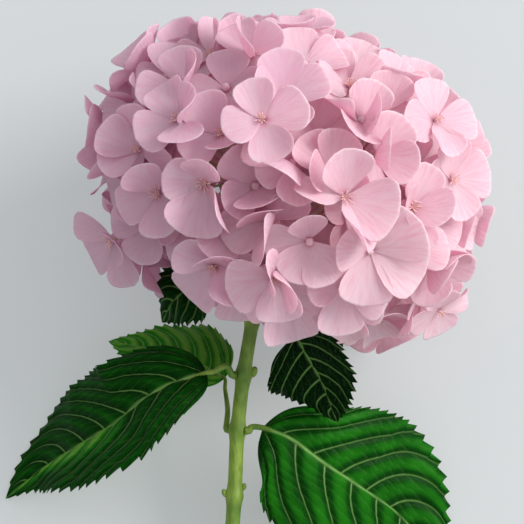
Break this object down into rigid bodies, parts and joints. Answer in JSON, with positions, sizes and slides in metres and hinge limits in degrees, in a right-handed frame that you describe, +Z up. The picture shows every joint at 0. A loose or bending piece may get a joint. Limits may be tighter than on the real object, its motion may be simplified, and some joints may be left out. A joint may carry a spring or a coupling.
{
  "type": "cut hydrangea flower",
  "caption": "Cut mophead hydrangea lying down: a dome of pale pink four-sepalled florets on a green stem with serrated leaves.",
  "frame": {"origin": "middle of the base of the bounding box, on the surface the flower lies on", "axes": "+Z up from the surface; +Y along the stem from the cut end toward the head; +X to the right as seen from above with the head away"},
  "size_m": [0.2436, 0.373, 0.1728],
  "materials": {
    "petal_pink": "soft matt petal, paler toward the rim and deep rose at the throat",
    "leaf_green": "satin leaf with pale veins",
    "stem_green": "smooth green stem, woodier toward the cut",
    "branch_green": "matt pale green"
  },
  "bodies": {
    "root": {"stem": "stem_green", "leaf_left": "leaf_green", "leaf_right": "leaf_green", "leaf_back_left": "leaf_green", "leaf_upper_right": "leaf_green", "leaf_upper_left": "leaf_green", "leaf_small_right": "leaf_green", "branch_1": "branch_green", "branch_2": "branch_green", "branch_3": "branch_green", "branch_4": "branch_green", "branch_5": "branch_green", "branch_6": "branch_green", "branch_7": "branch_green", "floret_01": "petal_pink", "floret_02": "petal_pink", "floret_03": "petal_pink", "floret_04": "petal_pink", "floret_05": "petal_pink", "floret_06": "petal_pink", "floret_07": "petal_pink", "floret_08": "petal_pink", "floret_09": "petal_pink", "floret_10": "petal_pink", "floret_11": "petal_pink", "floret_12": "petal_pink", "floret_13": "petal_pink", "floret_14": "petal_pink", "floret_15": "petal_pink", "floret_16": "petal_pink", "floret_17": "petal_pink", "floret_18": "petal_pink", "floret_19": "petal_pink", "floret_20": "petal_pink", "floret_21": "petal_pink", "floret_22": "petal_pink", "floret_23": "petal_pink", "floret_24": "petal_pink", "floret_25": "petal_pink", "floret_26": "petal_pink", "floret_27": "petal_pink", "floret_28": "petal_pink", "floret_29": "petal_pink", "floret_30": "petal_pink", "floret_31": "petal_pink", "floret_32": "petal_pink", "floret_33": "petal_pink", "floret_34": "petal_pink", "floret_35": "petal_pink", "floret_36": "petal_pink", "floret_37": "petal_pink", "floret_38": "petal_pink", "floret_39": "petal_pink", "floret_40": "petal_pink", "floret_41": "petal_pink", "floret_42": "petal_pink", "floret_43": "petal_pink", "floret_44": "petal_pink", "floret_45": "petal_pink", "floret_46": "petal_pink"}
  },
  "joints": []
}
